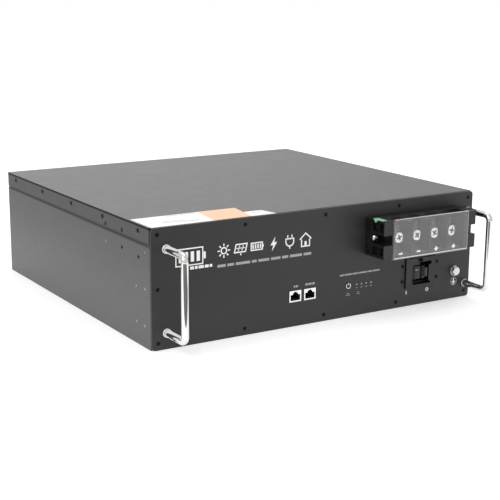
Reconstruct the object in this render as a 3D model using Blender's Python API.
"""Rack-mount battery pack: a 3U steel case full of cells, with handles, terminals, breaker and ports.

Metres. +Z is up, -Y is the front, +X is the right-hand side seen from the front.
The origin is under the middle of the whole pack, on the surface that it stands on.
"""
import math

import bmesh
import bpy
from mathutils import Matrix, Vector

# Case, with the front panel as its front 3 mm
CASE_WIDTH = 0.442
CASE_HEIGHT = 0.1325
CASE_DEPTH = 0.412
SHEET = 0.0015
GAP = 0.0003

# Handles: bent round bar, bolted on from behind the panel
HANDLE_REACH = 0.045
HANDLE_RADIUS = 0.004
HANDLE_BEND = 0.0072
HANDLE_LOW = 0.0181
HANDLE_HIGH = 0.1094
HANDLE_X = {"left": -0.2037, "right": 0.2122}
FERRULE_RADIUS = 0.0048
FERRULE_LENGTH = 0.0026
ROUND_STEPS = 24

# Main planes along Y
PANEL_FRONT = HANDLE_REACH - (CASE_DEPTH + HANDLE_REACH) / 2
PANEL_THICKNESS = 0.003
PANEL_BACK = PANEL_FRONT + PANEL_THICKNESS
CASE_FRONT = PANEL_BACK + GAP
CASE_BACK = PANEL_FRONT + CASE_DEPTH

# Cover and tray: the cover's flange hangs over a strip of the tray's wall that steps inwards
SEAM_LOW = 0.1126
SEAM_HIGH = 0.1146
STEP_IN = SHEET + GAP
LEDGE_IN = 0.0006
STEP_HEIGHT = 0.0024
STRIP_TOP = CASE_HEIGHT - SHEET - GAP
TRAY_LIP = 0.013
COVER_SETBACK = 0.0015

# Front panel
PANEL_CORNER = 0.004
PANEL_SCREW_COLUMNS = (-0.2137, -0.1064, 0.0003, 0.1062, 0.2137)
PANEL_SCREW_ROWS = (0.0076, 0.1252)
PANEL_SCREW_MIDDLE = 0.0664
PANEL_SCREW_HOLE = 0.0014
PANEL_SCREW_HEAD = 0.0026

# Terminal block: four bays side by side, an end lobe pair at each side, a hinged clear cover
BLOCK_MIDDLE = 0.126
BLOCK_HALF = 0.069
BLOCK_LOW = 0.0725
BLOCK_HIGH = 0.1168
BLOCK_REACH = 0.035
BLOCK_BASE = 0.012
BAY_FLOOR = 0.015
LOBE_WIDTH = 0.0127
BAY_PITCH = 0.0266
BAY_WIDTH = 0.0240
BAY_COUNT = 4
SLOT_LOW = 0.0885
SLOT_HIGH = 0.1001
BARRIER_FRONT = 0.0343
BARRIER_LOW = 0.0748
BARRIER_HIGH = 0.1132
SCREW_HEIGHT = 0.094
TERMINAL_HEAD = 0.00675

POCKET_DEEP = 0.0045
POCKET_WALL = 0.0016
POCKET_RIB = 0.0255

# Terminal hardware
TONGUE_LOW = 0.1035
TONGUE_THICK = 0.003
TONGUE_HALF = 0.006
TONGUE_BACK = 0.012
PAD_HALF = 0.0078
PAD_LOW = 0.0862
PAD_HIGH = 0.1068
PAD_THICK = 0.0025
TERMINAL_BORE = 0.0033
TERMINAL_WASHER = 0.0078
BORE_DEPTH = 0.008
BLOCK_SCREW_BORE = 0.0022
BLOCK_SCREW_HEAD = 0.004
BLOCK_SCREW_INSET = 0.0044
MARKER_SHEET = 0.0008
MARKER_WIDTH = 0.0055
MARKER_INSET = 0.0028
MARKER_BACK = 0.0160
MARKER_TONGUE = 0.0200
MARKER_POINT = 0.0040

# Clear cover
COVER_LOW = 0.0703
COVER_HIGH = 0.1184
COVER_SHEET = 0.0018
COVER_FRONT = 0.0374
COVER_LIP = 0.0026
HINGE_DEPTH = 0.0318
HINGE_HEIGHT = 0.1154
HINGE_PIN = 0.0011
PIN_LENGTH = 0.004

# Breaker, lying on its side so that the lever swings left to right
BREAKER_MIDDLE = 0.1414
BREAKER_HEIGHT = 0.0406
BREAKER_POLES = 0.036
NOSE_WIDTH = 0.045
NOSE_PROUD = 0.0022
SHOULDER_DEPTH = 0.014
BODY_WIDTH = 0.080
BODY_DEPTH = 0.066
WINDOW = (0.1288, 0.1552, 0.0276, 0.0500)
WINDOW_LIP = 0.0024
WINDOW_MOUTH = 0.1538
WINDOW_STEPS = (
    (0.1395, 0.1578, 0.0488, 0.0532),
    (0.1368, 0.1440, 0.0524, 0.0576),
    (0.1300, 0.1566, 0.0257, 0.0284),
)
STEP_DEPTH = 0.0080
LEVER_X = 0.1420
LEVER_DEPTH = 0.0100
LEVER_HUB = 0.0124
LEVER_TIP = 0.0162
LEVER_THICKNESS = 0.0048
LEVER_NOTCH = 0.0042
LEVER_REST = math.radians(22)
LEVER_LOW = 0.0326
LEVER_HIGH = 0.0478
PADDLE_LOW = 0.0352
PADDLE_HIGH = 0.0462
LEVER_AXLE = 0.0015
LEVER_SOCKET = 0.0025
BRACKET_SCREW_COLUMNS = (0.1147, 0.168)
BRACKET_SCREW_ROWS = (0.0313, 0.0503)

# Ports, button and lights, all on one board behind the panel
PORT_X = (-0.0401, -0.0202)
PORT_HEIGHT = 0.0355
PORT_WIDTH = 0.016
PORT_TALL = 0.013
PORT_PROUD = 0.0008
PORT_DEPTH = 0.0166
SHIELD = 0.0005
JACK_WIDTH = 0.0122
JACK_LOW = -0.0047
JACK_MIDDLE = 0.0016
JACK_STEP = 0.0034
JACK_TOP = 0.0048
JACK_DEEP = 0.0125
BUTTON_X = 0.0342
LIGHT_X = (0.0467, 0.0537, 0.0607, 0.0677)
CONTROL_HEIGHT = 0.0374
BUTTON_RADIUS = 0.0042
BUTTON_PROUD = 0.0008
BUTTON_TRAVEL = 0.0008
LIGHT_RADIUS = 0.0011
LIGHT_PROUD = 0.0002
BOARD_DEPTH = 0.017
BOARD_SHEET = 0.0016

# Earth bolt
EARTH_X = 0.1953
EARTH_HEIGHT = 0.0353
EARTH_WASHER = 0.0063
EARTH_SHANK = 0.003
EARTH_LENGTH = 0.012
EARTH_ACROSS_FLATS = 0.010

# Cells: eight across, two rows, behind the electronics
CELL_WIDTH = 0.050
CELL_DEPTH = 0.160
CELL_HEIGHT = 0.115
CELL_PITCH = 0.0505
CELLS_ACROSS = 8
CELL_ROWS = 2
CELL_CORNER = 0.003
POST_RADIUS = 0.006
POST_HEIGHT = 0.0028
POST_Y = CELL_DEPTH / 2 - 0.022
CELL_BOTTOM = SHEET + 0.0016
CELL_BACK = CASE_BACK - STEP_IN - SHEET - 0.0007
ROW_PITCH = CELL_DEPTH + 0.0005
CLAMP_SHEET = 0.008
CLAMP_HEIGHT = 0.098
LINK_WIDTH = 0.018
LINK_THICK = 0.0015
CARRIER_SHEET = 0.0014
BUSBAR_SHEET = 0.003

# Management board's heat sink
SINK_LEFT = -0.200
SINK_RIGHT = -0.070
SINK_HIGH = 0.104
SINK_DEPTH = 0.052
SINK_PLATE = 0.0053
FIN_REACH = 0.024
FIN_SHEET = 0.0026
FIN_COUNT = 15
CHIP_COUNT = 8


def clear_scene():
    for thing in list(bpy.data.objects):
        bpy.data.objects.remove(thing, do_unlink=True)


def finish(name, colour, roughness, metallic=0.0, alpha=1.0):
    """Make one Principled material."""
    made = bpy.data.materials.new(name)
    made.use_nodes = True
    shader = made.node_tree.nodes["Principled BSDF"]
    shader.inputs["Base Color"].default_value = (*colour, 1.0)
    shader.inputs["Roughness"].default_value = roughness
    shader.inputs["Metallic"].default_value = metallic
    shader.inputs["Alpha"].default_value = alpha
    made.diffuse_color = (*colour, alpha)
    return made


def add_object(name, shape, look=None, location=(0.0, 0.0, 0.0)):
    """Turn a bmesh into a named object, with all its faces pointing outwards."""
    bmesh.ops.recalc_face_normals(shape, faces=shape.faces)
    mesh = bpy.data.meshes.new(name)
    shape.to_mesh(mesh)
    shape.free()
    thing = bpy.data.objects.new(name, mesh)
    thing.location = location
    if look:
        mesh.materials.append(look)
    bpy.context.scene.collection.objects.link(thing)
    return thing


def block(name, low, high, look=None):
    """A plain box between two corners, with its origin in its middle."""
    low, high = Vector(low), Vector(high)
    size = high - low
    shape = bmesh.new()
    bmesh.ops.create_cube(shape, size=1.0)
    bmesh.ops.scale(shape, vec=size, verts=shape.verts)
    return add_object(name, shape, look, (low + high) / 2)


def prism(name, outline, length, look=None, location=(0.0, 0.0, 0.0), rotation=(0.0, 0.0, 0.0)):
    """Extrude a flat outline in local X and Y upwards along local Z."""
    shape = bmesh.new()
    ring = [shape.verts.new((x, y, 0.0)) for x, y in outline]
    face = shape.faces.new(ring)
    grown = bmesh.ops.extrude_face_region(shape, geom=[face])
    moved = [item for item in grown["geom"] if isinstance(item, bmesh.types.BMVert)]
    bmesh.ops.translate(shape, vec=(0.0, 0.0, length), verts=moved)
    thing = add_object(name, shape, look, location)
    thing.rotation_euler = rotation
    return thing


def turned(name, profile, look=None, location=(0.0, 0.0, 0.0), rotation=(0.0, 0.0, 0.0), steps=ROUND_STEPS):
    """Spin a profile of (radius, height) points round local Z."""
    shape = bmesh.new()
    points = [shape.verts.new((radius, 0.0, height)) for radius, height in profile]
    edges = [shape.edges.new(pair) for pair in zip(points, points[1:])]
    if profile[0][0] > 0.0:
        edges.append(shape.edges.new((points[-1], points[0])))
    bmesh.ops.spin(
        shape, geom=points + edges, cent=(0.0, 0.0, 0.0), axis=(0.0, 0.0, 1.0),
        dvec=(0.0, 0.0, 0.0), angle=math.tau, steps=steps, use_merge=True, use_duplicate=False,
    )
    bmesh.ops.remove_doubles(shape, verts=shape.verts, dist=1e-6)
    thing = add_object(name, shape, look, location)
    thing.rotation_euler = rotation
    thing.data.shade_smooth()
    thing.data.set_sharp_from_angle(angle=math.radians(30))
    return thing


def rod(name, start, end, radius, steps=16):
    """A plain cylinder between two points, used for cutting holes and for adding pins."""
    start, end = Vector(start), Vector(end)
    run = end - start
    thing = turned(name, [(0.0, 0.0), (radius, 0.0), (radius, run.length), (0.0, run.length)], steps=steps)
    thing.location = start
    thing.rotation_euler = run.to_track_quat("Z", "Y").to_euler()
    return thing


def settle(thing):
    """Replace an object's mesh by the result of its modifiers."""
    graph = bpy.context.evaluated_depsgraph_get()
    old = thing.data
    thing.data = bpy.data.meshes.new_from_object(thing.evaluated_get(graph))
    thing.modifiers.clear()
    thing.data.name = thing.name
    bpy.data.meshes.remove(old)


def combine(thing, others, operation):
    """Cut other solids out of one, or join them to it, and remove them."""
    for other in others:
        step = thing.modifiers.new(operation.lower(), "BOOLEAN")
        step.operation = operation
        step.solver = "EXACT"
        step.object = other
    bpy.context.view_layer.update()
    settle(thing)
    for other in others:
        bpy.data.objects.remove(other, do_unlink=True)


def cut(thing, *others):
    combine(thing, others, "DIFFERENCE")


def join(thing, *others):
    combine(thing, others, "UNION")


def rounded_rectangle(width, height, radius, steps=4):
    """Outline of a rectangle about its middle, with round corners."""
    points = []
    for quarter in range(4):
        side_x = width / 2 - radius
        side_y = height / 2 - radius
        centre_x = side_x if quarter in (0, 3) else -side_x
        centre_y = side_y if quarter in (0, 1) else -side_y
        for step in range(steps + 1):
            angle = math.pi / 2 * (quarter + step / steps)
            points.append((centre_x + radius * math.cos(angle), centre_y + radius * math.sin(angle)))
    return points


def front(depth):
    """The Y place of something that stands this far in front of the panel's face."""
    return PANEL_FRONT - depth


def facing_front():
    """Rotation that turns local +Z to the front."""
    return (math.pi / 2, 0.0, 0.0)


def sheet_box(name, levels, look, setback=0.0):
    """A folded sheet box: rectangles the size of the case, moved in at each (height, inset) level."""
    shape = bmesh.new()
    rings = []
    for height, inset in levels:
        half = CASE_WIDTH / 2 - inset
        near = CASE_FRONT + setback + inset
        far = CASE_BACK - inset
        corners = ((-half, near), (half, near), (half, far), (-half, far))
        rings.append([shape.verts.new((x, y, height)) for x, y in corners])
    for below, above in zip(rings, rings[1:]):
        for side in range(4):
            after = (side + 1) % 4
            shape.faces.new((below[side], below[after], above[after], above[side]))
    shape.faces.new(rings[0])
    shape.faces.new(rings[-1])
    return add_object(name, shape, look)


def make_case(steel):
    """Tray with a stepped rim, and the cover that drops over it."""
    tray = sheet_box("base_tray", (
        (0.0, 0.0),
        (SEAM_LOW, 0.0),
        (SEAM_LOW, LEDGE_IN),
        (SEAM_HIGH - GAP, LEDGE_IN),
        (SEAM_HIGH - GAP, STEP_IN),
        (STRIP_TOP, STEP_IN),
        (STRIP_TOP, STEP_IN + SHEET),
        (SEAM_LOW - STEP_HEIGHT, STEP_IN + SHEET),
        (SEAM_LOW - 2 * STEP_HEIGHT, SHEET),
        (SHEET, SHEET),
    ), steel)
    half = CASE_WIDTH / 2
    tray_mouth = block(
        "tray_mouth",
        (TRAY_LIP - half, CASE_FRONT - SHEET, TRAY_LIP),
        (half - TRAY_LIP, CASE_FRONT + 2 * STEP_IN + SHEET, STRIP_TOP - TRAY_LIP / 2),
    )
    cut(tray, tray_mouth)

    cover = sheet_box("top_cover", (
        (CASE_HEIGHT - SHEET, SHEET),
        (SEAM_HIGH, SHEET),
        (SEAM_HIGH, 0.0),
        (CASE_HEIGHT, 0.0),
    ), steel, COVER_SETBACK)
    front_flange = block(
        "front_flange",
        (SHEET - half, CASE_FRONT - SHEET, SEAM_HIGH - SHEET),
        (half - SHEET, CASE_FRONT + COVER_SETBACK + 2 * SHEET, CASE_HEIGHT - SHEET),
    )
    cut(cover, front_flange)


def make_panel(steel):
    """Front panel with its countersunk screw holes and the openings for everything that comes through."""
    panel = prism(
        "front_panel", rounded_rectangle(CASE_WIDTH, CASE_HEIGHT, PANEL_CORNER), PANEL_THICKNESS, steel,
        (0.0, PANEL_BACK, CASE_HEIGHT / 2), facing_front(),
    )
    through = PANEL_BACK + SHEET
    ahead = PANEL_FRONT - SHEET
    holes = []

    screws = [(x, z) for x in PANEL_SCREW_COLUMNS for z in PANEL_SCREW_ROWS]
    screws += [(x, PANEL_SCREW_MIDDLE) for x in (PANEL_SCREW_COLUMNS[0], PANEL_SCREW_COLUMNS[-1])]
    screws += [(x, z) for x in BRACKET_SCREW_COLUMNS for z in BRACKET_SCREW_ROWS]
    flare = PANEL_SCREW_HEAD - PANEL_SCREW_HOLE
    countersink = (
        (0.0, -SHEET),
        (PANEL_SCREW_HOLE, -SHEET),
        (PANEL_SCREW_HOLE, PANEL_THICKNESS - flare),
        (PANEL_SCREW_HEAD, PANEL_THICKNESS),
        (PANEL_SCREW_HEAD, PANEL_THICKNESS + SHEET),
        (0.0, PANEL_THICKNESS + SHEET),
    )
    for x, z in screws:
        holes.append(turned("hole", countersink, None, (x, PANEL_BACK, z), facing_front(), 12))

    half_wide = PORT_WIDTH / 2 + GAP
    half_tall = PORT_TALL / 2 + GAP
    for x in PORT_X:
        holes.append(block(
            "hole",
            (x - half_wide, ahead, PORT_HEIGHT - half_tall),
            (x + half_wide, through, PORT_HEIGHT + half_tall),
        ))

    rounds = [(BUTTON_X, CONTROL_HEIGHT, BUTTON_RADIUS + GAP), (EARTH_X, EARTH_HEIGHT, EARTH_SHANK + GAP)]
    rounds += [(x, CONTROL_HEIGHT, LIGHT_RADIUS + GAP) for x in LIGHT_X]
    for x, z, radius in rounds:
        holes.append(rod("hole", (x, ahead, z), (x, through, z), radius, ROUND_STEPS))

    nose_half = NOSE_WIDTH / 2 + GAP
    poles_half = BREAKER_POLES / 2 + GAP
    holes.append(block(
        "hole",
        (BREAKER_MIDDLE - nose_half, ahead, BREAKER_HEIGHT - poles_half),
        (BREAKER_MIDDLE + nose_half, through, BREAKER_HEIGHT + poles_half),
    ))
    holes.append(block(
        "hole",
        (BLOCK_MIDDLE - 2 * BAY_PITCH, ahead, TONGUE_LOW - SHEET),
        (BLOCK_MIDDLE + 2 * BAY_PITCH, through, TONGUE_LOW + TONGUE_THICK + SHEET),
    ))
    cut(panel, *holes)


def make_handle(side, chrome):
    """One bent bar handle and the two ferrules at its feet."""
    x = HANDLE_X[side]
    reach = HANDLE_REACH - HANDLE_RADIUS
    arc_steps = 6
    path = [(front(GAP), HANDLE_HIGH)]
    for height, first in ((HANDLE_HIGH - HANDLE_BEND, 0.0), (HANDLE_LOW + HANDLE_BEND, math.pi / 2)):
        for step in range(arc_steps + 1):
            angle = first + math.pi / 2 * step / arc_steps
            y = front(reach - HANDLE_BEND) - HANDLE_BEND * math.sin(angle)
            path.append((y, height + HANDLE_BEND * math.cos(angle)))
    path.append((front(GAP), HANDLE_LOW))

    middle = (HANDLE_LOW + HANDLE_HIGH) / 2
    bar = bpy.data.curves.new("handle_" + side, "CURVE")
    bar.dimensions = "3D"
    bar.bevel_depth = HANDLE_RADIUS
    bar.bevel_resolution = 6
    bar.use_fill_caps = True
    spline = bar.splines.new("POLY")
    spline.points.add(len(path) - 1)
    for point, (y, z) in zip(spline.points, path):
        point.co = (0.0, y - PANEL_FRONT, z - middle, 1.0)
    bar.materials.append(chrome)
    handle = bpy.data.objects.new("handle_" + side, bar)
    handle.location = (x, PANEL_FRONT, middle)
    bpy.context.scene.collection.objects.link(handle)

    inner = HANDLE_RADIUS + GAP
    edge = 0.0003
    ring = (
        (inner, 0.0),
        (FERRULE_RADIUS, 0.0),
        (FERRULE_RADIUS, FERRULE_LENGTH - edge),
        (FERRULE_RADIUS - edge, FERRULE_LENGTH),
        (inner, FERRULE_LENGTH),
    )
    for end, z in (("top", HANDLE_HIGH), ("bottom", HANDLE_LOW)):
        turned(f"handle_ferrule_{side}_{end}", ring, chrome, (x, front(GAP), z), facing_front())


def bay_middles():
    return [BLOCK_MIDDLE + BAY_PITCH * (number - (BAY_COUNT - 1) / 2) for number in range(BAY_COUNT)]


def make_terminal_block(moulding):
    """Moulded barrier block: base, barriers, and a pair of lobes at each end with a slot between them."""
    left, right = BLOCK_MIDDLE - BLOCK_HALF, BLOCK_MIDDLE + BLOCK_HALF
    body = block(
        "terminal_block", (left, front(BLOCK_REACH), BLOCK_LOW), (right, front(GAP), BLOCK_HIGH), moulding,
    )
    ahead = front(BLOCK_REACH + SHEET)
    base, floor = front(BLOCK_BASE), front(BAY_FLOOR)
    under, over = BLOCK_LOW - SHEET, BLOCK_HIGH + SHEET
    inner_left, inner_right = left + LOBE_WIDTH, right - LOBE_WIDTH
    cutters = [
        block("cutter", (inner_left, ahead, under), (inner_right, front(BARRIER_FRONT), over)),
        block("cutter", (inner_left, ahead, BARRIER_HIGH), (inner_right, floor, over)),
        block("cutter", (inner_left, ahead, under), (inner_right, floor, BARRIER_LOW)),
    ]
    for middle in bay_middles():
        cutters.append(block(
            "cutter", (middle - BAY_WIDTH / 2, ahead, under), (middle + BAY_WIDTH / 2, floor, over),
        ))
        cutters.append(rod(
            "cutter",
            (middle, floor - SHEET, SCREW_HEIGHT), (middle, front(BAY_FLOOR - BORE_DEPTH), SCREW_HEIGHT),
            TERMINAL_BORE,
        ))
        cutters.append(block(
            "cutter",
            (middle - TONGUE_HALF - GAP, floor - SHEET, TONGUE_LOW - GAP),
            (middle + TONGUE_HALF + GAP, PANEL_FRONT, TONGUE_LOW + TONGUE_THICK + GAP),
        ))
    for edge, inwards in ((left, 1), (right, -1)):
        outside = edge - inwards * SHEET
        inside = edge + inwards * LOBE_WIDTH
        cutters.append(block(
            "cutter",
            (min(outside, inside), ahead, SLOT_LOW),
            (max(outside, inside), base, SLOT_HIGH),
        ))
        screw_x = edge + inwards * BLOCK_SCREW_INSET
        slot_middle = (SLOT_LOW + SLOT_HIGH) / 2
        cutters.append(rod(
            "cutter",
            (screw_x, base - SHEET, slot_middle), (screw_x, PANEL_FRONT, slot_middle), BLOCK_SCREW_BORE,
        ))
        socket_end = inside - inwards * (PIN_LENGTH + GAP)
        cutters.append(rod(
            "cutter",
            (inside + inwards * SHEET, front(HINGE_DEPTH), HINGE_HEIGHT),
            (socket_end, front(HINGE_DEPTH), HINGE_HEIGHT), HINGE_PIN + GAP, 12,
        ))
        cutters += lobe_pockets(edge, inwards)
    cut(body, *cutters)


def lobe_pockets(edge, inwards):
    """Moulded hollows in one end of the block: two in each lobe, and one beside each in the base."""
    pockets = []
    outside = edge - inwards * SHEET
    deep = edge + inwards * POCKET_DEEP
    shallow = edge + inwards * POCKET_DEEP / 3
    spans = (
        (BLOCK_BASE + POCKET_WALL, POCKET_RIB, deep),
        (POCKET_RIB + POCKET_WALL, BLOCK_REACH - POCKET_WALL, deep),
        (POCKET_WALL, BLOCK_BASE - POCKET_WALL, shallow),
    )
    for low, high in ((BLOCK_LOW, SLOT_LOW), (SLOT_HIGH, BLOCK_HIGH)):
        for near, far, bottom in spans:
            pockets.append(block(
                "cutter",
                (min(outside, bottom), front(far), low + 2 * POCKET_WALL),
                (max(outside, bottom), front(near), high - 2 * POCKET_WALL),
            ))
    return pockets


def make_terminals(tinned, steel):
    """Four tinned pads with a tongue back through the panel, and the screw that clamps a lug on each."""
    base = BAY_FLOOR + GAP
    for number, middle in enumerate(bay_middles(), start=1):
        pad = block(
            f"terminal_plate_{number}",
            (middle - PAD_HALF, front(base + PAD_THICK), PAD_LOW),
            (middle + PAD_HALF, front(base), PAD_HIGH), tinned,
        )
        tongue = block(
            "tongue",
            (middle - TONGUE_HALF, front(base + PAD_THICK / 2), TONGUE_LOW),
            (middle + TONGUE_HALF, front(-TONGUE_BACK), TONGUE_LOW + TONGUE_THICK),
        )
        join(pad, tongue)
        cut(pad, rod(
            "hole",
            (middle, PANEL_FRONT, SCREW_HEIGHT), (middle, front(BLOCK_REACH), SCREW_HEIGHT), TERMINAL_BORE,
        ))
        make_terminal_screw(number, middle, steel)


def cross_slot(x, z, top, depth, arm, half_width):
    """The two cutters of a cross slot, in a screw head whose top is this far in front of the panel."""
    near, far = front(top + SHEET), front(top - depth)
    return (
        block("slot", (x - arm, near, z - half_width), (x + arm, far, z + half_width)),
        block("slot", (x - half_width, near, z - arm), (x + half_width, far, z + arm)),
    )


def make_terminal_screw(number, middle, steel):
    """Pan-head screw with a captive washer and a cross slot."""
    seat = BAY_FLOOR + GAP + PAD_THICK + GAP
    shank = TERMINAL_BORE - GAP
    length = PAD_THICK + BORE_DEPTH - SHEET
    washer_thick = 0.0014
    head_high = 0.0062
    profile = (
        (0.0, -length),
        (shank, -length),
        (shank, 0.0),
        (TERMINAL_WASHER, 0.0),
        (TERMINAL_WASHER, washer_thick),
        (TERMINAL_HEAD, washer_thick),
        (TERMINAL_HEAD, head_high - 0.0022),
        (TERMINAL_HEAD * 0.86, head_high - 0.0006),
        (TERMINAL_HEAD * 0.55, head_high),
        (0.0, head_high),
    )
    screw = turned(
        f"terminal_screw_{number}", profile, steel, (middle, front(seat), SCREW_HEIGHT), facing_front(),
    )
    cut(screw, *cross_slot(middle, SCREW_HEIGHT, seat + head_high, 0.0022, TERMINAL_HEAD * 0.62, 0.0009))


def make_block_screws(steel):
    """The two pan-head screws that hold the terminal block to the panel."""
    shank = BLOCK_SCREW_BORE - GAP - 0.0001
    head_high = 0.0031
    profile = (
        (0.0, -BLOCK_BASE + GAP),
        (shank, -BLOCK_BASE + GAP),
        (shank, 0.0),
        (BLOCK_SCREW_HEAD, 0.0),
        (BLOCK_SCREW_HEAD, head_high - 0.0017),
        (BLOCK_SCREW_HEAD * 0.78, head_high - 0.0004),
        (0.0, head_high),
    )
    height = (SLOT_LOW + SLOT_HIGH) / 2
    offset = BLOCK_HALF - BLOCK_SCREW_INSET
    seat = BLOCK_BASE + GAP
    for side, x in (("left", BLOCK_MIDDLE - offset), ("right", BLOCK_MIDDLE + offset)):
        screw = turned("block_screw_" + side, profile, steel, (x, front(seat), height), facing_front(), 16)
        cut(screw, *cross_slot(x, height, seat + head_high, 0.0012, BLOCK_SCREW_HEAD * 0.48, 0.0004))


def make_marker(look):
    """Green marker tab clipped over the block's upper left edge, with a pointed tongue on the end face."""
    left = BLOCK_MIDDLE - BLOCK_HALF
    outside = left - GAP - MARKER_SHEET
    low = BLOCK_HIGH + GAP
    tab = block(
        "marker_tab",
        (outside, front(BLOCK_REACH - MARKER_INSET), low),
        (left + MARKER_WIDTH, front(MARKER_BACK), low + MARKER_SHEET), look,
    )
    outline = ((-MARKER_POINT, 0.0), (MARKER_POINT, 0.0), (0.0, -MARKER_POINT))
    tongue = prism(
        "tongue", outline, MARKER_SHEET, None,
        (outside, front(MARKER_TONGUE), low + MARKER_SHEET / 2), (math.pi / 2, 0.0, math.pi / 2),
    )
    join(tab, tongue)


def make_terminal_cover(clear):
    """Clear flap in front of the bays. Its origin is on the hinge line."""
    half = BLOCK_HALF - LOBE_WIDTH - GAP
    hinge = Vector((BLOCK_MIDDLE, front(HINGE_DEPTH), HINGE_HEIGHT))
    outer, inner = COVER_FRONT, COVER_FRONT - COVER_SHEET
    outline = (
        (-outer, COVER_HIGH),
        (-outer, COVER_LOW + COVER_SHEET),
        (-outer + 0.0005, COVER_LOW + 0.0005),
        (-outer + COVER_SHEET, COVER_LOW),
        (-inner + COVER_LIP, COVER_LOW),
        (-inner + COVER_LIP, COVER_LOW + 0.0012),
        (-inner, COVER_LOW + 0.0024),
        (-inner, COVER_HIGH),
    )
    local = [(y + HINGE_DEPTH, z - HINGE_HEIGHT) for y, z in outline]
    flap = prism(
        "terminal_cover", local, 2 * half, clear,
        hinge - Vector((half, 0.0, 0.0)), (math.pi / 2, 0.0, math.pi / 2),
    )
    arm = 0.0022
    arm_half = HINGE_PIN + 0.0002
    extras = []
    for way in (-1, 1):
        end = BLOCK_MIDDLE + way * half
        stop = end - way * arm
        extras.append(block(
            "arm",
            (min(end, stop), front(inner + COVER_SHEET / 2), HINGE_HEIGHT - arm_half),
            (max(end, stop), front(HINGE_DEPTH - arm_half), HINGE_HEIGHT + arm_half),
        ))
        extras.append(rod(
            "pin",
            (stop + way * arm / 2, hinge.y, hinge.z), (end + way * PIN_LENGTH, hinge.y, hinge.z),
            HINGE_PIN, 12,
        ))
    join(flap, *extras)
    move_origin(flap, hinge)


def move_origin(thing, place):
    """Put an object's origin somewhere else without moving its solid."""
    bpy.context.view_layer.update()
    mesh = thing.data
    mesh.transform(thing.matrix_world)
    thing.rotation_euler = (0.0, 0.0, 0.0)
    thing.location = place
    mesh.transform(Matrix.Translation(-Vector(place)))


def make_breaker(moulding, lever_look, steel):
    """Two-pole breaker: body with a nose through the panel, swinging lever, and bracket behind it."""
    half_poles = BREAKER_POLES / 2
    low, high = BREAKER_HEIGHT - half_poles, BREAKER_HEIGHT + half_poles
    body = block(
        "breaker_body",
        (BREAKER_MIDDLE - BODY_WIDTH / 2, front(-SHOULDER_DEPTH), low),
        (BREAKER_MIDDLE + BODY_WIDTH / 2, front(-BODY_DEPTH), high), moulding,
    )
    nose = block(
        "nose",
        (BREAKER_MIDDLE - NOSE_WIDTH / 2, front(NOSE_PROUD), low),
        (BREAKER_MIDDLE + NOSE_WIDTH / 2, front(-SHOULDER_DEPTH - SHEET), high),
    )
    join(body, nose)
    window_left, window_right, window_low, window_high = WINDOW
    lever_y = front(-LEVER_DEPTH)
    socket_low, socket_high = window_low - LEVER_SOCKET, window_high + LEVER_SOCKET
    face, lip = front(NOSE_PROUD + SHEET), front(NOSE_PROUD - WINDOW_LIP)
    cavity_back = lever_y + LEVER_HUB + 2 * GAP
    openings = [
        block("cavity", (window_left, lip, window_low), (window_right, cavity_back, window_high)),
        block("mouth", (window_left, face, window_low), (WINDOW_MOUTH, lip + SHEET, window_high)),
    ]
    for step_left, step_right, step_low, step_high in WINDOW_STEPS:
        openings.append(block(
            "step", (step_left, face, step_low), (step_right, front(NOSE_PROUD - STEP_DEPTH), step_high),
        ))
    axle_hole = rod(
        "axle_hole",
        (LEVER_X, lever_y, socket_low), (LEVER_X, lever_y, socket_high), LEVER_AXLE + GAP, 12,
    )
    cut(body, axle_hole, *openings)

    hub_outline = (
        (0.0, socket_low + GAP),
        (LEVER_AXLE, socket_low + GAP),
        (LEVER_AXLE, LEVER_LOW),
        (LEVER_HUB, LEVER_LOW),
        (LEVER_HUB, LEVER_HIGH),
        (LEVER_AXLE, LEVER_HIGH),
        (LEVER_AXLE, socket_high - GAP),
        (0.0, socket_high - GAP),
    )
    lever = turned(
        "breaker_lever", [(radius, z - BREAKER_HEIGHT) for radius, z in hub_outline], lever_look,
        (LEVER_X, lever_y, BREAKER_HEIGHT), (0.0, 0.0, LEVER_REST),
    )
    half_thick = LEVER_THICKNESS / 2
    handle = prism(
        "handle",
        ((-half_thick, 0.0), (-half_thick, -LEVER_TIP + 0.001), (-half_thick + 0.001, -LEVER_TIP),
         (half_thick - 0.001, -LEVER_TIP), (half_thick, -LEVER_TIP + 0.001), (half_thick, 0.0)),
        PADDLE_HIGH - PADDLE_LOW, None,
        (LEVER_X, lever_y, PADDLE_LOW), (0.0, 0.0, LEVER_REST),
    )
    join(lever, handle)
    notch = prism(
        "notch",
        ((-half_thick - LEVER_NOTCH, -LEVER_TIP), (-half_thick - LEVER_NOTCH, LEVER_NOTCH - LEVER_HUB),
         (-half_thick, LEVER_NOTCH - LEVER_HUB), (-half_thick, -LEVER_TIP)),
        LEVER_HIGH - LEVER_LOW + 2 * SHEET, None,
        (LEVER_X, lever_y, LEVER_LOW - SHEET), (0.0, 0.0, LEVER_REST),
    )
    cut(lever, notch)

    margin = 0.011
    bracket = block(
        "breaker_bracket",
        (BREAKER_MIDDLE - NOSE_WIDTH / 2 - margin, PANEL_BACK + GAP, low - margin / 2),
        (BREAKER_MIDDLE + NOSE_WIDTH / 2 + margin, PANEL_BACK + GAP + 0.002, high + margin / 2), steel,
    )
    ahead, through = PANEL_BACK - SHEET, PANEL_BACK + 0.005
    holes = [block(
        "hole",
        (BREAKER_MIDDLE - NOSE_WIDTH / 2 - GAP, ahead, low - GAP),
        (BREAKER_MIDDLE + NOSE_WIDTH / 2 + GAP, through, high + GAP),
    )]
    for x in BRACKET_SCREW_COLUMNS:
        for z in BRACKET_SCREW_ROWS:
            holes.append(rod("hole", (x, ahead, z), (x, through, z), PANEL_SCREW_HOLE, 12))
    cut(bracket, *holes)


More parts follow.
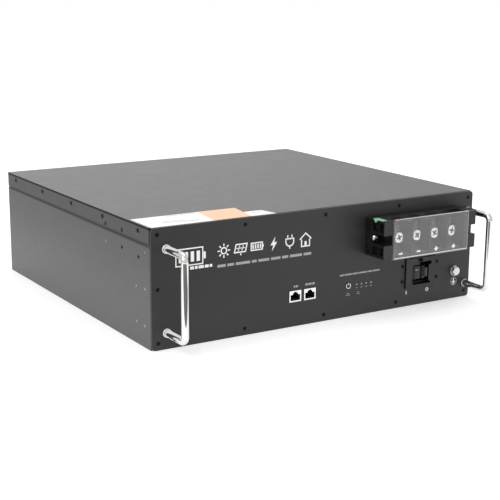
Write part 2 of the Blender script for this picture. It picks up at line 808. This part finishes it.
def make_ports(shield_look, insert_look):
    """Two network ports: a plated shield round a moulded jack with its latch notch at the top."""
    for number, x in enumerate(PORT_X, start=1):
        half_wide, half_tall = PORT_WIDTH / 2, PORT_TALL / 2
        near, far = front(PORT_PROUD), front(-PORT_DEPTH)
        shield = block(
            f"port_shield_{number}", (x - half_wide, near, PORT_HEIGHT - half_tall),
            (x + half_wide, far, PORT_HEIGHT + half_tall), shield_look,
        )
        bore_wide, bore_tall = half_wide - SHIELD, half_tall - SHIELD
        cut(shield, block(
            "bore", (x - bore_wide, near - SHEET, PORT_HEIGHT - bore_tall),
            (x + bore_wide, far - SHIELD, PORT_HEIGHT + bore_tall),
        ))
        rim = block(
            "rim",
            (x - half_wide, near, PORT_HEIGHT - half_tall),
            (x + half_wide, near + SHIELD, PORT_HEIGHT + half_tall),
        )
        cut(rim, jack_cavity("mouth", x, near - SHEET, near + SHEET, GAP))
        join(shield, rim)

        insert = block(
            f"port_jack_{number}",
            (x - bore_wide + GAP, near + SHIELD + GAP, PORT_HEIGHT - bore_tall + GAP),
            (x + bore_wide - GAP, far - SHIELD - GAP, PORT_HEIGHT + bore_tall - GAP), insert_look,
        )
        cut(insert, jack_cavity("cavity", x, near - SHEET, front(-JACK_DEEP), 0.0))


def jack_cavity(name, x, near, far, grow):
    """Solid of a jack's opening: the plug's body, with two narrower steps above it for the latch."""
    half = JACK_WIDTH / 2 + grow
    step, tongue = half * 0.55, half * 0.3
    low, middle, high, top = JACK_LOW - grow, JACK_MIDDLE + grow, JACK_STEP + grow, JACK_TOP + grow
    right = [(half, low), (half, middle), (step, middle), (step, high), (tongue, high), (tongue, top)]
    left = [(-across, height) for across, height in reversed(right)]
    return prism(name, right + left, far - near, None, (x, far, PORT_HEIGHT), facing_front())


def make_controls(button_look, guide_look, board_look):
    """Power button, light guide, and the board that carries them and the ports."""
    flange = 0.0052
    stem = 0.0015
    stem_end = BOARD_DEPTH - 0.0065
    back = -PANEL_THICKNESS - GAP
    profile = (
        (0.0, BUTTON_TRAVEL - stem_end + GAP),
        (stem, BUTTON_TRAVEL - stem_end + GAP),
        (stem, back - 0.001),
        (flange, back - 0.001),
        (flange, back),
        (BUTTON_RADIUS, back),
        (BUTTON_RADIUS, BUTTON_PROUD - 0.0003),
        (BUTTON_RADIUS - 0.0003, BUTTON_PROUD),
        (0.0, BUTTON_PROUD),
    )
    turned("power_button", profile, button_look, (BUTTON_X, PANEL_FRONT, CONTROL_HEIGHT), facing_front())

    bar_margin = 0.002
    guide = block(
        "light_guide",
        (LIGHT_X[0] - bar_margin, front(-0.0085), CONTROL_HEIGHT - bar_margin),
        (LIGHT_X[-1] + bar_margin, front(-0.0060), CONTROL_HEIGHT + bar_margin), guide_look,
    )
    guide_end = BOARD_DEPTH - 0.003
    stems = []
    for x in LIGHT_X:
        near, far = (x, front(LIGHT_PROUD), CONTROL_HEIGHT), (x, front(-guide_end), CONTROL_HEIGHT)
        stems.append(rod("stem", near, far, LIGHT_RADIUS, 12))
    join(guide, *stems)

    board = block(
        "interface_board",
        (PORT_X[0] - 0.016, front(-BOARD_DEPTH), 0.018),
        (LIGHT_X[-1] + 0.016, front(-BOARD_DEPTH - BOARD_SHEET), 0.057), board_look,
    )
    key_half = 0.003
    parts = [block(
        "switch",
        (BUTTON_X - key_half, front(-stem_end), CONTROL_HEIGHT - key_half),
        (BUTTON_X + key_half, front(-BOARD_DEPTH - BOARD_SHEET / 2), CONTROL_HEIGHT + key_half),
    )]
    for x in LIGHT_X:
        parts.append(block(
            "lamp",
            (x - 0.0015, front(-guide_end - GAP), CONTROL_HEIGHT - 0.001),
            (x + 0.0015, front(-BOARD_DEPTH - BOARD_SHEET / 2), CONTROL_HEIGHT + 0.001),
        ))
    join(board, *parts)


def make_earth_bolt(steel):
    """Hexagon bolt and washer for the earth lead."""
    washer_low, washer_high = GAP, GAP + 0.0016
    hole = EARTH_SHANK + GAP
    turned(
        "earth_washer",
        ((hole, washer_low), (EARTH_WASHER, washer_low), (EARTH_WASHER, washer_high), (hole, washer_high)),
        steel, (EARTH_X, PANEL_FRONT, EARTH_HEIGHT), facing_front(),
    )
    seat = washer_high + GAP
    place = (EARTH_X, front(seat), EARTH_HEIGHT)
    head_high = 0.004
    corner = EARTH_ACROSS_FLATS / 2 / math.cos(math.pi / 6)
    turns = [math.pi / 3 * side for side in range(6)]
    hexagon = [(corner * math.cos(turn), corner * math.sin(turn)) for turn in turns]
    bolt = prism("earth_bolt", hexagon, head_high, steel, place, facing_front())
    wide = corner + SHEET
    crown_profile = (
        (0.0, -wide),
        (wide, -wide),
        (wide, head_high - 0.0016),
        (corner * 0.82, head_high),
        (0.0, head_high),
    )
    combine(bolt, [turned("crown", crown_profile, None, place, facing_front())], "INTERSECT")
    shank_start = (EARTH_X, front(seat + SHEET), EARTH_HEIGHT)
    join(bolt, rod("shank", shank_start, (EARTH_X, front(-EARTH_LENGTH), EARTH_HEIGHT), EARTH_SHANK))


def make_cells(can):
    """Sixteen prismatic cells. Every second one is turned round, so that the posts alternate."""
    outline = rounded_rectangle(CELL_WIDTH, CELL_DEPTH, CELL_CORNER, 2)
    first = prism("cell_01", outline, CELL_HEIGHT, can)
    root, top = CELL_HEIGHT - SHEET, CELL_HEIGHT + POST_HEIGHT
    join(first, *[rod("post", (0.0, y, root), (0.0, y, top), POST_RADIUS, 12) for y in (-POST_Y, POST_Y)])
    number = 0
    for row in range(CELL_ROWS):
        y = CELL_BACK - CELL_DEPTH / 2 - ROW_PITCH * row
        for column in range(CELLS_ACROSS):
            number += 1
            cell = first
            if number > 1:
                cell = bpy.data.objects.new(f"cell_{number:02d}", first.data)
                bpy.context.scene.collection.objects.link(cell)
            cell.location = (CELL_PITCH * (column - (CELLS_ACROSS - 1) / 2), y, CELL_BOTTOM)
            cell.rotation_euler = (0.0, 0.0, math.pi * (column % 2))


def make_cell_hardware(aluminium, carrier_look, paper):
    """Clamp plates at both ends of the cells, the link carrier on top, and the sheet under them."""
    stack_half = CELL_PITCH * CELLS_ACROSS / 2
    stack_back = CELL_BACK
    stack_front = CELL_BACK - CELL_DEPTH - ROW_PITCH
    for side, way in (("left", -1), ("right", 1)):
        near, far = way * (stack_half + GAP), way * (stack_half + GAP + CLAMP_SHEET)
        block(
            "cell_clamp_" + side,
            (min(near, far), stack_front, CELL_BOTTOM),
            (max(near, far), stack_back, CELL_BOTTOM + CLAMP_HEIGHT), aluminium,
        )
    block(
        "insulation_sheet",
        (-stack_half, stack_front, SHEET + GAP), (stack_half, stack_back, CELL_BOTTOM - GAP), paper,
    )
    carrier_low = CELL_BOTTOM + CELL_HEIGHT + POST_HEIGHT + GAP
    carrier_high = carrier_low + CARRIER_SHEET
    inset = 0.004
    carrier = block(
        "link_carrier",
        (inset - stack_half, stack_front + inset, carrier_low),
        (stack_half - inset, stack_back - inset, carrier_high), carrier_look,
    )
    links = []
    for row in range(CELL_ROWS):
        middle = CELL_BACK - CELL_DEPTH / 2 - ROW_PITCH * row
        for column in range(CELLS_ACROSS - 1):
            y = middle + POST_Y * (1 if column % 2 else -1)
            x = CELL_PITCH * (column - (CELLS_ACROSS - 1) / 2)
            links.append(block(
                "link",
                (x - LINK_WIDTH / 2, y - LINK_WIDTH / 2, carrier_high - CARRIER_SHEET / 2),
                (x + CELL_PITCH + LINK_WIDTH / 2, y + LINK_WIDTH / 2, carrier_high + LINK_THICK),
            ))
    join(carrier, *links)


def make_electronics(board_look, aluminium, copper):
    """Battery-management board on its finned heat sink, and the copper bars to the terminals."""
    sink_near = front(-SINK_DEPTH)
    foot = SHEET + GAP
    sink = block(
        "heat_sink",
        (SINK_LEFT, sink_near, foot), (SINK_RIGHT, sink_near + SINK_PLATE, SINK_HIGH), aluminium,
    )
    pitch = (SINK_RIGHT - SINK_LEFT - FIN_SHEET) / (FIN_COUNT - 1)
    fins = []
    for number in range(FIN_COUNT):
        x = SINK_LEFT + pitch * number
        fins.append(block(
            "fin", (x, sink_near + SINK_PLATE / 2, foot), (x + FIN_SHEET, sink_near + FIN_REACH, SINK_HIGH),
        ))
    join(sink, *fins)

    board_back = sink_near - GAP
    inside = board_back - BOARD_SHEET / 2
    board = block(
        "management_board",
        (SINK_LEFT, board_back - BOARD_SHEET, 0.012), (SINK_RIGHT, board_back, 0.110), board_look,
    )
    parts = [block(
        "plug", (SINK_LEFT + 0.015, board_back - 0.011, 0.090), (SINK_LEFT + 0.075, inside, 0.098),
    )]
    chip_pitch = 0.0145
    for number in range(CHIP_COUNT):
        x = SINK_LEFT + 0.010 + chip_pitch * number
        parts.append(block("chip", (x, board_back - 0.006, 0.030), (x + 0.009, inside, 0.044)))
    join(board, *parts)

    bays = bay_middles()
    near = front(-TONGUE_BACK - GAP)
    far = near + BUSBAR_SHEET
    low, high = TONGUE_LOW - 0.006, TONGUE_LOW + TONGUE_THICK + 0.009
    end = SINK_RIGHT + 0.004
    negative = block("busbar_negative", (end, near, low), (bays[1] + TONGUE_HALF, far, high), copper)
    join(negative, block("leg", (end, near, low), (end + BUSBAR_SHEET, board_back - 0.002, high)))

    right = bays[3] + TONGUE_HALF
    left = right - LINK_WIDTH
    over = CELL_BOTTOM + CELL_HEIGHT + POST_HEIGHT + GAP + CARRIER_SHEET + LINK_THICK + 2 * GAP
    positive = block("busbar_positive", (bays[2] - TONGUE_HALF, near, low), (right, far, high), copper)
    stack_front = CELL_BACK - CELL_DEPTH - ROW_PITCH
    join(
        positive,
        block("rise", (left, near, low + 0.002), (right, far, over + BUSBAR_SHEET * 0.8)),
        block("run", (left, near, over), (right, stack_front + 0.02, over + BUSBAR_SHEET * 0.8)),
    )


def main():
    clear_scene()
    grey = (0.055, 0.055, 0.055)
    steel = finish("case_paint", (0.17, 0.17, 0.17), 0.55, 0.1)
    panel_paint = finish("panel_paint", grey, 0.6, 0.1)
    chrome = finish("chrome", (0.85, 0.85, 0.84), 0.08, 1.0)
    moulding = finish("black_moulding", (0.012, 0.012, 0.012), 0.45)
    tinned = finish("tinned_copper", (0.72, 0.72, 0.70), 0.3, 1.0)
    screw_steel = finish("screw_steel", (0.75, 0.75, 0.74), 0.25, 1.0)
    clear = finish("clear_plastic", (0.75, 0.77, 0.78), 0.1, 0.0, 0.4)
    green = finish("green_plastic", (0.25, 0.62, 0.38), 0.4)
    lever = finish("lever_plastic", (0.05, 0.05, 0.05), 0.5)
    shield = finish("port_plating", (0.8, 0.8, 0.8), 0.25, 1.0)
    jack = finish("jack_plastic", (0.01, 0.01, 0.01), 0.5)
    button = finish("button_plastic", (0.06, 0.06, 0.06), 0.5)
    guide = finish("light_guide_plastic", (0.75, 0.8, 0.75), 0.2)
    board = finish("circuit_board", (0.02, 0.16, 0.06), 0.4)
    can = finish("cell_can", (0.10, 0.20, 0.42), 0.4)
    carrier = finish("carrier_plastic", (0.75, 0.72, 0.62), 0.5)
    paper = finish("insulation_paper", (0.55, 0.50, 0.38), 0.8)
    aluminium = finish("aluminium", (0.6, 0.6, 0.62), 0.35, 1.0)
    copper = finish("copper", (0.72, 0.36, 0.2), 0.3, 1.0)

    make_case(steel)
    make_panel(panel_paint)
    for side in HANDLE_X:
        make_handle(side, chrome)
    make_terminal_block(moulding)
    make_terminals(tinned, screw_steel)
    make_block_screws(screw_steel)
    make_marker(green)
    make_terminal_cover(clear)
    make_breaker(moulding, lever, screw_steel)
    make_ports(shield, jack)
    make_controls(button, guide, board)
    make_earth_bolt(screw_steel)
    make_cells(can)
    make_cell_hardware(aluminium, carrier, paper)
    make_electronics(board, aluminium, copper)


main()
